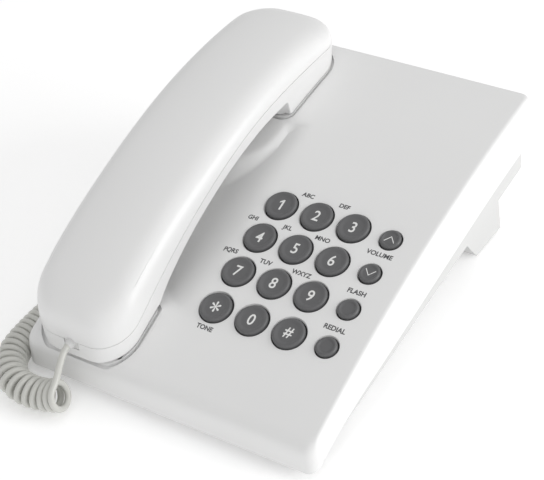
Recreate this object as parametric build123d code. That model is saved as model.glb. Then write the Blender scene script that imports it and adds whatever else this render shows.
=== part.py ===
from build123d import *
import os
import math

# Corded desk telephone: wedge-shaped base with a key pad on the right, a
# handset lying in a cradle on the left, a rear stand and a coiled handset cord.
# Millimetres, +Z up.  Dimensions below count y from the front edge of the base
# (y = 0) to the back; every shape is shifted by -Y_MID when it is written, so the
# origin is the middle of the footprint on the desk.

os.makedirs("parts", exist_ok=True)

# ---------------------------------------------------------------- driving sizes
Y_MID = 102.43            # half of the overall depth
HALF_W = 75.0            # half width of the base at its top edge
WALL = 2.4               # moulded wall thickness of the case
PANEL_PTS = ((0.0, 17.6), (100.0, 52.6), (200.0, 70.0))   # arched top panel
CHORD = math.atan2(70.0 - 17.6, 200.0)                    # mean slope of the panel
KEY_SLOPE = math.radians(17.2)                            # slope of the key pad
KEY_ROWS = (96.5, 78.1, 59.7, 41.3)
KEY_COLS = (2.7, 21.2, 39.8)
SMALL_COL = 58.3
KEY_R, KEY_HOLE_R = 7.55, 7.9
SMALL_R, SMALL_HOLE_R = 5.0, 5.35
KEY_PROUD = 1.3
HS_X = -46.5             # centre line of the handset
HS_HALF = 26.0           # half width of the handset
WIRE_D = 3.0             # round cord
COIL_D = 15.0            # outer diameter of the coiled part of the cord


# ------------------------------------------------------------ the panel's arc
def _circle3(p, q, r):
    ax, ay = p
    bx, by = q
    cx, cy = r
    d = 2 * (ax * (by - cy) + bx * (cy - ay) + cx * (ay - by))
    ux = ((ax * ax + ay * ay) * (by - cy) + (bx * bx + by * by) * (cy - ay)
          + (cx * cx + cy * cy) * (ay - by)) / d
    uy = ((ax * ax + ay * ay) * (cx - bx) + (bx * bx + by * by) * (ax - cx)
          + (cx * cx + cy * cy) * (bx - ax)) / d
    return ux, uy, math.hypot(ax - ux, ay - uy)


CY, CZ, CR = _circle3(*PANEL_PTS)


def panel_z(y, off=0.0):
    """Height of the panel at y, or of the surface that lies off below it."""
    return CZ + math.sqrt((CR - off) ** 2 - (y - CY) ** 2)


def under_z(y):
    """Flat underside of the lower case, which rises towards the back."""
    return 2.6 + 0.145 * (y - 8.0)


def rim_z(y):
    """Lower rim of the upper case."""
    pts = ((-12, -3.0), (0, 4.0), (20, 12.2), (37, 17.0), (54, 20.5), (71, 24.0), (90, 28.0),
           (108, 31.8), (140, 38.3), (170, 43.6), (203, 48.5), (220, 50.8))
    for (a, za), (b, zb) in zip(pts, pts[1:]):
        if a <= y <= b:
            return za + (zb - za) * (y - a) / (b - a)
    return pts[-1][1]


# ------------------------------------------------------------------- helpers
def arc_pts(y0, y1, off, n=2):
    """Points of the arc that lies off below the panel, from y0 to y1."""
    return [(y0 + (y1 - y0) * i / n, panel_z(y0 + (y1 - y0) * i / n, off)) for i in range(n + 1)]


def yz_prism(face, x0, x1):
    """A face drawn as (y, z), extruded from x0 to x1."""
    return extrude(Plane.YZ.offset(x0) * face, amount=x1 - x0)


def poly_yz(pts, x0, x1):
    return yz_prism(make_face(Polyline(*pts, close=True)), x0, x1)


def smooth_face(points, tail):
    """A face bounded by a spline through points and by straight lines through tail."""
    s = Spline(*points)
    edges = [s]
    chain = [points[-1]] + list(tail) + [points[0]]
    for a, b in zip(chain, chain[1:]):
        edges.append(Line(a, b))
    return make_face(edges)


def below_panel(off, y0=-30.0, y1=240.0, low=-60.0):
    """Everything under the surface that lies off below the panel."""
    a, b, c = arc_pts(y0, y1, off)
    edges = [ThreePointArc(a, b, c), Line(c, (y1, low)), Line((y1, low), (y0, low)), Line((y0, low), a)]
    return yz_prism(make_face(edges), -120, 120)


def one(shape):
    """The largest solid of a shape."""
    return sorted(shape.solids(), key=lambda s: s.volume)[-1]


def try_fillet(shape, edges, radii):
    edges = list(edges)
    for r in radii:
        if not edges:
            return shape
        try:
            out = fillet(edges, r)
            if out.is_valid and out.volume > 0.8 * shape.volume:
                return out
        except Exception:
            continue
    print("fillet skipped", radii)
    return shape


def tilt(y, z, slope, x=0.0):
    """A plane on the panel: local x across, local y up the slope, local z out of it."""
    return Plane(origin=(x, y, z), x_dir=(1, 0, 0), z_dir=(0, -math.sin(slope), math.cos(slope)))


# --------------------------------------------------------------- case volumes
def front_back(off):
    """Side view of the case without its top: front wall, sloping rear wall."""
    top_y = 199.3 - off
    # the rear wall is square to the panel's mean slope
    k = math.tan(CHORD)
    return make_face(Polyline((off, -60), (off, 110), (top_y - 40 * k, 110), (top_y + 130 * k, -60), close=True))


def side_taper(off):
    """Side walls that flare slightly as they go down from the panel."""
    up, dn = 60.0, 90.0
    k = 0.055
    pl = Plane(origin=(0, 100, 43.8), x_dir=(1, 0, 0), z_dir=(0, -math.cos(CHORD), -math.sin(CHORD)))
    w0 = HALF_W - off
    face = make_face(Polyline((-(w0 - k * up), up), (w0 - k * up, up), (w0 + k * dn, -dn), (-(w0 + k * dn), -dn),
                              close=True))
    return extrude(pl * face, amount=160, both=True)


def case_block(off):
    return one(below_panel(off) & yz_prism(front_back(off), -120, 120) & side_taper(off))


def above_rim(shift=0.0):
    ys = (-12, 0, 20, 37, 54, 71, 90, 108, 140, 170, 203, 220)
    pts = [(y, rim_z(y) + shift) for y in ys]
    return poly_yz(pts + [(220, 160), (-12, 160)], -120, 120)


def well(y0, y1, xa, xb, depth, e, slant=0.0):
    """A recess in the panel; e grows it, which leaves a wall of that thickness."""
    a, b, c = arc_pts(y0 - e, y1 + e, depth + e)
    top = 30.0
    edges = [ThreePointArc(a, b, c), Line(c, (c[0] + slant, c[1] + depth + top)),
             Line((c[0] + slant, c[1] + depth + top), (a[0] - slant * 0.6, a[1] + depth + top)),
             Line((a[0] - slant * 0.6, a[1] + depth + top), a)]
    s = yz_prism(make_face(edges), xa - e, xb + e)
    if slant:
        return s
    vert = [ed for ed in s.edges() if abs((ed @ 1 - ed @ 0).Z) > 8]
    return try_fillet(s, vert, (6.0 + e * 0.5, 3.0))


MOUTH_WELL = (4.6, 33.0, HS_X - 22.5, HS_X + 22.5, 4.6)
EAR_WELL = (147.5, 188.0, HS_X - 22.5, HS_X + 22.5, 5.4)
FINGER = (44.0, 132.0, -70.5, -15.0, 8.5)


def wells(e):
    a = well(*MOUTH_WELL, e)
    b = well(*EAR_WELL, e)
    c = well(*FINGER, e, slant=9.0)
    return a, b, c


# screws: x, y; heads sit in recesses of the underside
SCREWS = ((-62.0, 38.0), (62.0, 26.0), (-62.0, 187.0), (62.0, 187.0))
FEET = ((-58.0, 17.0), (58.0, 17.0))


def cyl(x, y, z0, z1, r):
    return Pos(x, y, (z0 + z1) / 2) * Cylinder(r, z1 - z0)


def seat_z(y):
    return under_z(y) + 4.4


# ---------------------------------------------------------------- upper case
outer = case_block(0.0)
corner = [e for e in outer.edges() if abs((e @ 0).Z - (e @ 1).Z) > 40 and abs((e @ 0.5).X) > 70]
outer = one(try_fillet(outer, corner, (6.0, 4.0)))
inner = case_block(WALL)

upper = (outer - inner) & above_rim()
for w in wells(WALL):
    upper = upper + (w & inner & above_rim())
bosses = None
for x, y in SCREWS:
    top = panel_z(y) + 5
    b = cyl(x, y, seat_z(y) + 2.6, top, 4.0)
    bosses = b if bosses is None else bosses + b
# posts that carry the key pad board
PAD_Y = 68.9
PAD = tilt(PAD_Y, panel_z(PAD_Y), KEY_SLOPE)
POSTS = ((-9.5, -36.0), (67.5, -36.0), (-9.5, 36.0), (67.5, 36.0))
for px, py in POSTS:
    post = PAD.offset(-9.0) * (Pos(px, py, 6.0) * Cylinder(2.6, 12.0))
    bosses = bosses + post
upper = upper + (bosses & inner)
for w in wells(0.0):
    upper = upper - w
for x, y in SCREWS:
    upper = upper - cyl(x, y, seat_z(y), seat_z(y) + 10.5 if y > 30 else seat_z(y) + 9.5, 1.6)

# key holes, square to the key pad
KEYS = []   # name, x, y, radius, hole radius
names = (("key_1", "key_2", "key_3"), ("key_4", "key_5", "key_6"), ("key_7", "key_8", "key_9"),
         ("key_star", "key_0", "key_hash"))
for row, y in zip(names, KEY_ROWS):
    for n, x in zip(row, KEY_COLS):
        KEYS.append((n, x, y, KEY_R, KEY_HOLE_R))
for n, y in zip(("key_volume_up", "key_volume_down", "key_flash", "key_redial"), KEY_ROWS):
    KEYS.append((n, SMALL_COL, y, SMALL_R, SMALL_HOLE_R))
for n, x, y, r, hr in KEYS:
    upper = upper - tilt(y, panel_z(y), KEY_SLOPE, x) * Cylinder(hr, 16.0)

# hole for the hook switch plunger, in the floor of the ear recess
HOOK_X, HOOK_Y = -31.0, 168.0
HOOK_W, HOOK_L = 7.0, 12.0
upper = upper - Pos(HOOK_X, HOOK_Y, panel_z(HOOK_Y) - 6) * Box(HOOK_W + 0.8, HOOK_L + 0.8, 14)
upper = one(upper)

# ---------------------------------------------------------------- lower case
LC_X, LC_Y0, LC_Y1 = 71.6, 3.4, 200.2


def lower_block(e):
    base = Pos(0, (LC_Y0 + LC_Y1) / 2, 0) * extrude(
        RectangleRounded(2 * (LC_X - e), LC_Y1 - LC_Y0 - 2 * e, 6.0 - e * 0.5), amount=90)
    above = poly_yz([(-12, under_z(-12) + e), (220, under_z(220) + e), (220, 160), (-12, 160)], -120, 120)
    return base & above


rim_cut = above_rim(3.6)
lower = (lower_block(0.0) - lower_block(WALL)) - rim_cut
lower = lower & case_block(WALL + 0.35)
# standing posts under the main board
BOARD_Z = 35.6
BOARD = (-45.0, 50.0, 112.0, 178.0)
for x in (-40.0, 45.0):
    for y in (117.0, 173.0):
        lower = lower + (cyl(x, y, 10, BOARD_Z, 3.0) & lower_block(0.0))
# screw bosses and recesses
for x, y in SCREWS:
    lower = lower + (cyl(x, y, 0, seat_z(y) + 2.4, 6.2) & lower_block(0.0))
for x, y in SCREWS:
    lower = lower - cyl(x, y, -2, seat_z(y), 3.6) - cyl(x, y, 0, 90, 1.8)
for x, y in FEET:
    lower = lower - cyl(x, y, -2, under_z(y) + 0.6, 6.2)

# rear socket for the line plug, left socket for the handset cord
LJ_X, LJ_Z = 34.0, 40.6
LINE_W, LINE_H = 10.2, 7.4
lower = lower - Pos(LJ_X, 200, LJ_Z) * Box(LINE_W + 0.6, 10, LINE_H + 0.6)
HJ_Y, HJ_Z = 150.0, 32.6
PLUG_W, PLUG_H = 7.7, 6.0
lower = lower - Pos(-71, HJ_Y, HJ_Z) * Box(10, PLUG_W + 1.4, PLUG_H + 1.4)
# slots for the two slide switches
SW1_X, SW2_X, SW_Z = 2.0, -24.0, 40.6
SW1_T, SW2_T = 6.0, 3.0       # travel of the ringer and of the dial mode switch
for sx, t in ((SW1_X, SW1_T), (SW2_X, SW2_T)):
    lower = lower - Pos(sx, 200, SW_Z) * Box(4.0 + t + 0.8, 10, 4.0)
lower = one(lower)

# ------------------------------------------------------------------- the stand
ST_X = 67.0


def stand_face(e):
    a, b = 143.0 + e * 1.25, 180.2 - e
    return [(a, under_z(a) + (8 if e else 0)), (b, under_z(b) + (8 if e else 0)), (182.8 - e, 1.4 + e),
            (158.5 + e * 0.9, 1.4 + e)]


stand = poly_yz(stand_face(0.0), -ST_X, ST_X) - poly_yz(stand_face(2.4), -ST_X + 2.4, ST_X - 2.4)
for x in (-30.0, 0.0, 30.0):   # stiffening ribs
    stand = stand + (poly_yz(stand_face(0.0), x - 1.1, x + 1.1)
                     & poly_yz([(140, -5), (190, -5), (190, under_z(190) - 6), (140, under_z(140) - 6)], -99, 99))
for x in (-52.0, 52.0):        # seats of the rear rubber pads
    stand = stand - Pos(x, 171.0, 1.4) * Box(22.4, 17.4, 1.6)
stand = one(stand)

rear_feet = [Pos(x, 171.0, 1.1) * Box(22.0, 17.0, 2.2) for x in (-52.0, 52.0)]
front_feet = []
for x, y in FEET:
    f = cyl(x, y, 0, 12, 6.0) & poly_yz([(0, -1), (60, -1), (60, under_z(60)), (0, under_z(0))], -99, 99)
    f = f + (cyl(x, y, 0, under_z(y) + 0.6, 6.0) & cyl(x, y, 0, under_z(y) + 0.6, 6.0))
    front_feet.append(one(f))

# ------------------------------------------------------------------- screws
case_screws = []
for x, y in SCREWS:
    z = seat_z(y)
    ln = 9.0 if y > 30 else 8.0
    s = cyl(x, y, z - 2.0, z, 3.2) + cyl(x, y, z - 0.01, z + ln, 1.5)
    s = s - Pos(x, y, z - 2.0) * Box(4.2, 0.9, 2.0) - Pos(x, y, z - 2.0) * Box(0.9, 4.2, 2.0)
    case_screws.append(one(s))

# --------------------------------------------------------- boards and keypad
main_pcb = Pos((BOARD[0] + BOARD[1]) / 2, (BOARD[2] + BOARD[3]) / 2, BOARD_Z + 0.8) * Box(
    BOARD[1] - BOARD[0], BOARD[3] - BOARD[2], 1.6)
PZ = BOARD_Z + 1.6
comps = [cyl(10, 125, PZ, PZ + 9, 4.0), cyl(22, 130, PZ, PZ + 11, 5.0), cyl(38, 124, PZ, PZ + 8, 3.0),
         Pos(0, 150, PZ + 2) * Box(18, 9, 4), Pos(28, 150, PZ + 1.2) * Box(14, 14, 2.4),
         Pos(38, 170, PZ + 3.5) * Box(10, 8, 7), Pos(8, 171, PZ + 3) * Box(12, 7, 6),
         Pos(-24, 122, PZ + 1.5) * Box(10, 6, 3), Pos(-40 + 4, 135, PZ + 1.5) * Box(6, 10, 3),
         cyl(-8, 133, PZ, PZ + 6, 2.5)]

board = PAD.offset(-9.0 - 0.8) * (Pos(29.6, 0, 0) * Box(83, 80, 1.6))
keypad_pcb = board
chip = PAD.offset(-10.6 - 1.1) * (Pos(29, 0, 0) * Box(16, 16, 2.2))
keypad_pcb = one(keypad_pcb + chip)
mem = PAD.offset(-9.0 + 0.5) * (Pos(29.5, 0, 0) * Box(69, 76, 1.0))
for px, py in POSTS:
    mem = mem - PAD.offset(-9.0) * (Pos(px, py, 0) * Cylinder(3.2, 6.0))
for n, x, y, r, hr in KEYS:
    s = (y - PAD_Y) / math.cos(KEY_SLOPE)
    mem = mem + PAD.offset(-7.9) * (Pos(x, s, 0) * Cylinder(2.8, 0.4))
membrane = one(mem)

key_solids = {}
for n, x, y, r, hr in KEYS:
    pl = tilt(y, panel_z(y), KEY_SLOPE, x)
    cap = pl * (Pos(0, 0, (KEY_PROUD - 3.6) / 2) * Cylinder(r, KEY_PROUD + 3.6))
    tops = [e for e in cap.edges() if e.geom_type == GeomType.CIRCLE]
    tops = sorted(tops, key=lambda e: (e.center() - Vector(x, y, panel_z(y))).dot(
        Vector(0, -math.sin(KEY_SLOPE), math.cos(KEY_SLOPE))))[-1]
    cap = fillet(tops, 0.6)
    flange = pl * (Pos(0, 0, -3.9) * Cylinder(r + 0.95, 1.0))
    stem = pl * (Pos(0, 0, -4.8) * Cylinder(2.2, 1.4))
    key_solids[n] = one(cap + flange + stem)

# -------------------------------------------------------------- hook switch
HOOK_TOP = panel_z(HOOK_Y) - 5.3
hook_plunger = Pos(HOOK_X, HOOK_Y, HOOK_TOP - 7.0) * Box(HOOK_W, HOOK_L, 14.0)
hook_plunger = try_fillet(hook_plunger, [e for e in hook_plunger.edges() if (e @ 0.5).Z > HOOK_TOP - 0.1], (1.2, 0.6))
hook_plunger = hook_plunger - cyl(HOOK_X, HOOK_Y, HOOK_TOP - 15, HOOK_TOP - 9.0, 2.6)
hook_plunger = one(hook_plunger)
HSW_TOP = PZ + 4.0
SPR_TOP = HOOK_TOP - 9.0
hook_switch = Pos(HOOK_X, HOOK_Y, PZ + 2.0) * Box(9.0, 15.0, 4.0) + cyl(HOOK_X, HOOK_Y, HSW_TOP - 0.01, HSW_TOP + 3.0, 1.2)
hook_switch = one(hook_switch)
turns = 6
spr_r, spr_w = 1.95, 0.5
spr_h = SPR_TOP - HSW_TOP - spr_w - 0.04
path = Helix(pitch=spr_h / turns, height=spr_h, radius=spr_r, center=(HOOK_X, HOOK_Y, HSW_TOP + spr_w / 2 + 0.02))
prof = Plane(origin=path @ 0, z_dir=path % 0) * Circle(spr_w / 2)
hook_spring = one(sweep(prof, path=path, is_frenet=True))

# ------------------------------------------------------------ jacks, switches
ly = 198.2   # inside face of the rear wall is at LC_Y1 - WALL
line_jack = Pos(LJ_X, (183.0 + LC_Y1 - WALL) / 2, LJ_Z) * Box(15.0, LC_Y1 - WALL - 183.0, 12.4)
line_jack = line_jack - Pos(LJ_X, 193.0, LJ_Z) * Box(LINE_W, 16.0, LINE_H) - Pos(LJ_X, 193.0, LJ_Z + 4.2) * Box(3.4, 16.0, 2.4)
line_jack = one(line_jack)
line_contacts = [Pos(LJ_X + dx, 188.6, LJ_Z - LINE_H / 2 + 0.45) * Box(0.5, 6.0, 0.9) for dx in (-1.9, -0.65, 0.65, 1.9)]

base_jack = Pos(-60.6, HJ_Y, HJ_Z) * Box(17.0, PLUG_W + 5.0, PLUG_H + 5.0)
base_jack = base_jack & (Pos(0, 0, 0) * Box(2 * (LC_X - WALL - 0.4), 500, 200))
base_jack = one(base_jack - Pos(-67.1, HJ_Y, HJ_Z) * Box(22.0, PLUG_W + 0.3, PLUG_H + 0.3))


def sw_body(sx, t):
    b = Pos(sx, 194.3, SW_Z) * Box(t + 9.0, 7.0, 9.0)
    return one(b - Pos(sx, 196.8, SW_Z) * Box(t + 6.4, 5.0, 5.4))


def sw_knob(sx, t):
    x = sx - t / 2
    return one(Pos(x, 198.5, SW_Z) * Box(4.0, 5.6, 3.4) + Pos(x, 196.05, SW_Z) * Box(6.0, 2.7, 5.0))


ringer_body, ringer_knob = sw_body(SW1_X, SW1_T), sw_knob(SW1_X, SW1_T)
mode_body, mode_knob = sw_body(SW2_X, SW2_T), sw_knob(SW2_X, SW2_T)

ringer = Plane(origin=(44, 80, under_z(80) + WALL), z_dir=(0, -0.1435, 0.98966)) * (
    Pos(0, 0, 2.6) * Cylinder(15.0, 5.0) + Pos(0, 0, 5.6) * Cylinder(9.0, 1.2))
ringer = one(ringer)

# ------------------------------------------------------------------- handset
# side view: crown over the top, then the underside from the ear end to the mouth end
CROWN = [(1.4, 30.0), (2.4, 37.5), (7.0, 45.6), (20.0, 55.0), (40.0, 64.6), (70.0, 75.2), (100.0, 83.6),
         (130.0, 89.4), (155.0, 92.4), (174.0, 93.0), (186.0, 91.4), (192.0, 86.6), (193.8, 80.0)]
UNDER = [(191.4, 70.8), (148.0, 64.6), (143.6, 67.2), (138.0, 70.4), (128.0, 71.0), (112.0, 69.2), (94.0, 64.9),
         (76.0, 58.6), (60.0, 51.4), (48.0, 44.4), (40.0, 38.6), (33.6, 33.4), (6.0, 21.9)]


def inset(pts, d, closed=True):
    """Move a closed outline inwards by d (the outline runs with its inside on the right)."""
    out = []
    n = len(pts)
    for i in range(n):
        a, b, c = pts[i - 1], pts[i], pts[(i + 1) % n]
        v1 = (b[0] - a[0], b[1] - a[1])
        v2 = (c[0] - b[0], c[1] - b[1])
        l1, l2 = math.hypot(*v1), math.hypot(*v2)
        n1 = (v1[1] / l1, -v1[0] / l1)
        n2 = (v2[1] / l2, -v2[0] / l2)
        bx, by = n1[0] + n2[0], n1[1] + n2[1]
        bl = math.hypot(bx, by)
        bx, by = bx / bl, by / bl
        k = d / max(0.55, bx * n1[0] + by * n1[1])
        out.append((b[0] + bx * k, b[1] + by * k))
    return out


def hs_block(e, r):
    pts = inset(CROWN + UNDER, e) if e else CROWN + UNDER
    crown, under = pts[:len(CROWN)], pts[len(CROWN):]
    edges = [Spline(*crown)]
    chain = [crown[-1], under[0], under[1]]
    for a, b in zip(chain, chain[1:]):
        edges.append(Line(a, b))
    edges.append(Spline(*under[1:-1]))
    edges.append(Line(under[-2], under[-1]))
    edges.append(Line(under[-1], crown[0]))
    body = yz_prism(make_face(edges), HS_X - HS_HALF + e, HS_X + HS_HALF - e)
    plan = Pos(HS_X, 97.4, 0) * extrude(RectangleRounded(2 * (HS_HALF - e), 193.6 - 2 * e, 17.0 - e * 0.6), amount=160)
    body = one(body & plan)
    cr = []
    for ed in body.edges():
        m = ed @ 0.5
        zc = [abs(m.Z - (crown[i][1] + (crown[i + 1][1] - crown[i][1]) * (m.Y - crown[i][0]) / (crown[i + 1][0] - crown[i][0])))
              for i in range(len(crown) - 1) if crown[i + 1][0] > crown[i][0] and crown[i][0] - 1e-6 <= m.Y <= crown[i + 1][0] + 1e-6]
        if zc and min(zc) < 1.2 and abs(m.X - HS_X) > 2:
            cr.append(ed)
    return one(try_fillet(body, cr, r))


hs_outer = hs_block(0.0, (8.0, 6.0, 4.0, 2.0))
hs_inner = hs_block(3.0, (5.0, 4.0, 2.5))
seam = [(-6.0, 29.4), (10.0, 36.0), (30.0, 46.4), (55.0, 57.6), (85.0, 69.0), (115.0, 77.0), (145.0, 80.4),
        (175.0, 81.2), (205.0, 81.6)]
below_seam = yz_prism(smooth_face(seam, [(205.0, -20.0), (-6.0, -20.0)]), -120, 20)
above_seam = yz_prism(smooth_face(seam, [(205.0, 150.0), (-6.0, 150.0)]), -120, 20)
back_shell = (hs_outer & above_seam) - hs_inner
front_shell = (hs_outer & below_seam) - hs_inner

EAR_Y, MIC_Y = 168.0, 19.0


def dz(y):
    return math.atan2(-(y - CY), math.sqrt(CR ** 2 - (y - CY) ** 2))


ear_pl = tilt(EAR_Y, panel_z(EAR_Y), math.atan2(-(EAR_Y - CY), panel_z(EAR_Y) - CZ), HS_X)
mic_pl = tilt(MIC_Y, panel_z(MIC_Y), math.atan2(-(MIC_Y - CY), panel_z(MIC_Y) - CZ), HS_X)
# cups that drop into the recesses of the base
ear_cup = ear_pl * (Pos(0, 0, -0.4) * Cylinder(18.6, 7.2)) - ear_pl * (Pos(0, 0, 1.4) * Cylinder(16.4, 7.2))
mic_cup = mic_pl * (Pos(0, -1.0, -0.2) * extrude(RectangleRounded(36.0, 20.0, 6.0), amount=3.4, both=True)) \
    - mic_pl * (Pos(0, -1.0, 1.9) * extrude(RectangleRounded(31.6, 15.6, 4.0), amount=3.4, both=True))
front_shell = front_shell + ear_cup + mic_cup
front_shell = front_shell - ear_pl * (Pos(0, 0, 4.0) * Cylinder(16.4, 9.0)) \
    - mic_pl * (Pos(0, -1.0, 3.0) * extrude(RectangleRounded(31.6, 15.6, 4.0), amount=3.4, both=True))
for ang in range(0, 360, 60):      # sound holes of the receiver and of the microphone
    front_shell = front_shell - ear_pl * (Pos(7 * math.cos(math.radians(ang)), 7 * math.sin(math.radians(ang)), -3)
                                          * Cylinder(1.1, 6.0))
front_shell = front_shell - ear_pl * (Pos(0, 0, -3) * Cylinder(1.1, 6.0))
for dx in (-5.0, 0.0, 5.0):
    front_shell = front_shell - mic_pl * (Pos(dx, -1.0, -3) * Cylinder(0.9, 6.0))
# opening for the cord plug in the mouth end
HPL = Plane(origin=(HS_X, 1.2, 26.6), x_dir=(1, 0, 0), z_dir=(0, 1, 0))
front_shell = front_shell - Pos(HS_X, 5.0, 26.6) * Box(PLUG_W + 1.0, 12.0, PLUG_H + 1.0)
HS_SCREWS = ((HS_X, 116.0), (HS_X, 58.0))
front_shell = one(front_shell)
back_shell = one(back_shell)

receiver = one(ear_pl * (Pos(0, 0, 2.7) * Cylinder(15.6, 9.2) + Pos(0, 0, 7.9) * Cylinder(10.0, 1.6)))
mic = one(mic_pl * (Pos(0, 1.6, 1.7) * Cylinder(4.7, 5.6)))
wt_slope = math.atan2(80.0 - 73.4, 22.0)
weight = Plane(origin=(HS_X, 91.0, 72.2), x_dir=(1, 0, 0), z_dir=(0, -math.sin(0.30), math.cos(0.30))) * Box(22.0, 42.0, 5.0)
hs_jack = Pos(HS_X, 8.9, 27.4) * Box(PLUG_W + 3.6, 10.2, PLUG_H + 3.6) - Pos(HS_X, 6.5, 26.6) * Box(PLUG_W + 0.3, 13.0, PLUG_H + 0.3)
hs_jack = one(hs_jack & hs_inner)

hs_screws = []
for x, y in HS_SCREWS:
    k = [i for i in range(1, len(UNDER) - 1) if UNDER[i + 1][0] <= y <= UNDER[i][0]][0]
    f = (y - UNDER[k][0]) / (UNDER[k + 1][0] - UNDER[k][0])
    zu = UNDER[k][1] + f * (UNDER[k + 1][1] - UNDER[k][1])
    hs_screws.append((x, y, zu))
    front_shell = front_shell + (cyl(x, y, zu - 1, zu + 4.6, 4.0) & hs_outer)
    back_shell = back_shell + (cyl(x, y, zu + 4.8, zu + 30, 3.6) & hs_outer)
hs_screw_solids = []
for x, y, zu in hs_screws:
    front_shell = front_shell - cyl(x, y, zu - 9, zu + 2.8, 2.9) - cyl(x, y, zu, zu + 6, 1.5)
    back_shell = back_shell - cyl(x, y, zu + 4, zu + 9.2, 1.25)
    hs_screw_solids.append(one(cyl(x, y, zu + 1.2, zu + 2.8, 2.6) + cyl(x, y, zu + 2.79, zu + 9.0, 1.2)
                               - Pos(x, y, zu + 1.2) * Box(3.6, 0.8, 1.4) - Pos(x, y, zu + 1.2) * Box(0.8, 3.6, 1.4)))
front_shell, back_shell = one(front_shell), one(back_shell)

# ---------------------------------------------------------------- coiled cord
def plug(origin, out):
    """Modular plug: body, latch tab and the short sleeve that the cord leaves.  out is the way the cord leaves."""
    pl = Plane(origin=origin, x_dir=(0, 0, 1), z_dir=out)
    body = pl * (Pos(0, 0, -5.6) * Box(PLUG_H, PLUG_W, 11.2))
    sleeve = pl * (Pos(0, 0, 1.4) * Box(4.2, 5.4, 2.8))
    return one(body + sleeve)


HS_EXIT = (HS_X, -1.4, 26.6)      # face where the cord leaves the handset plug
BASE_EXIT = (-76.2, HJ_Y, HJ_Z)   # face where the cord leaves the base plug
plug_hs = plug((HS_X, 1.4, 26.6), (0, -1, 0))
plug_base = plug((-73.4, HJ_Y, HJ_Z), (-1, 0, 0))

COIL_PTS = [(-43.5, -14.0, 7.6), (-53.5, -17.2, 7.6), (-66.0, -19.0, 7.6), (-78.5, -14.5, 7.6), (-86.0, -3.0, 7.6),
            (-87.6, 13.0, 7.6), (-86.6, 37.0, 7.6), (-88.0, 72.0, 7.6), (-86.4, 108.0, 7.6), (-87.2, 136.0, 7.6)]
HS_TAIL = [HS_EXIT, (HS_X, -6.6, 26.6), (HS_X + 0.6, -11.0, 22.6), (HS_X + 1.9, -14.4, 16.8), (HS_X + 2.6, -16.2, 13.0)]
BASE_TAIL = [BASE_EXIT, (-83.4, HJ_Y, HJ_Z), (-88.0, 150.6, 28.4), (-86.2, 147.8, 20.6), (-83.2, 141.4, 13.2), (-82.6, 135.0, 9.2)]


def tube(pts, dia, label):
    """A tube of straight runs joined by tangent arcs."""
    v = [Vector(*p) for p in pts]
    runs = [(b - a).length for a, b in zip(v, v[1:])]
    radii = []
    for i in range(1, len(v) - 1):
        turn = math.radians((v[i] - v[i - 1]).get_angle(v[i + 1] - v[i]))
        radii.append(0.45 * min(runs[i - 1], runs[i]) / math.tan(turn / 2))
    line = FilletPolyline(*pts, radius=radii)
    sec = Plane(origin=line @ 0, z_dir=line % 0) * Circle(dia / 2)
    solid = one(sweep(sec, path=line))
    print(label, "runs", [round(r, 1) for r in runs], "radii", [round(r, 1) for r in radii],
          "length", round(line.length, 1), "volume ratio",
          round(solid.volume / (math.pi * dia * dia / 4 * line.length), 4), "valid", solid.is_valid)
    return solid, line.length


cord_coil, coil_len = tube(COIL_PTS, COIL_D, "cord_coil")
tail_hs, tail_hs_len = tube(HS_TAIL, WIRE_D, "cord_tail_handset")
tail_base, tail_base_len = tube(BASE_TAIL, WIRE_D, "cord_tail_base")
# the tails end on the coil: what lies inside the coil's own solid is the coil
tail_hs = one(tail_hs - cord_coil)
tail_base = one(tail_base - cord_coil)

# ---------------------------------------------------------------- write parts
nodes = {
    "upper_case": upper, "lower_case": lower, "desk_stand": stand, "front_feet": front_feet, "rear_feet": rear_feet,
    "case_screws": case_screws, "main_pcb": main_pcb, "pcb_components": comps, "keypad_pcb": keypad_pcb,
    "keypad_membrane": membrane, "hook_plunger": hook_plunger, "hook_spring": hook_spring,
    "hook_microswitch": hook_switch, "ringer_sounder": ringer, "line_jack": line_jack,
    "line_jack_contacts": line_contacts, "base_handset_jack": base_jack, "ringer_switch_body": ringer_body,
    "ringer_switch_knob": ringer_knob, "dial_mode_switch_body": mode_body, "dial_mode_switch_knob": mode_knob,
    "handset_back_shell": back_shell, "handset_front_shell": front_shell, "handset_receiver": receiver,
    "handset_microphone": mic, "handset_weight": weight, "handset_jack": hs_jack, "handset_screws": hs_screw_solids,
    "plug_handset_end": plug_hs, "plug_base_end": plug_base, "cord_tail_handset": tail_hs, "cord_coil": cord_coil,
    "cord_tail_base": tail_base,
}
nodes.update(key_solids)
SHIFT = Pos(0, -Y_MID, 0)
for name, shape in nodes.items():
    if isinstance(shape, list):
        out = Compound(children=[SHIFT * s for s in shape])
    else:
        out = SHIFT * shape
    export_step(out, f"parts/{name}.step")
print("nodes", len(nodes), "panel at mid keypad", round(panel_z(PAD_Y), 2), "coil length", round(coil_len, 1))
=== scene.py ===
import math

import bmesh
import bpy
import numpy as np
from mathutils import Matrix, Vector


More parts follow.
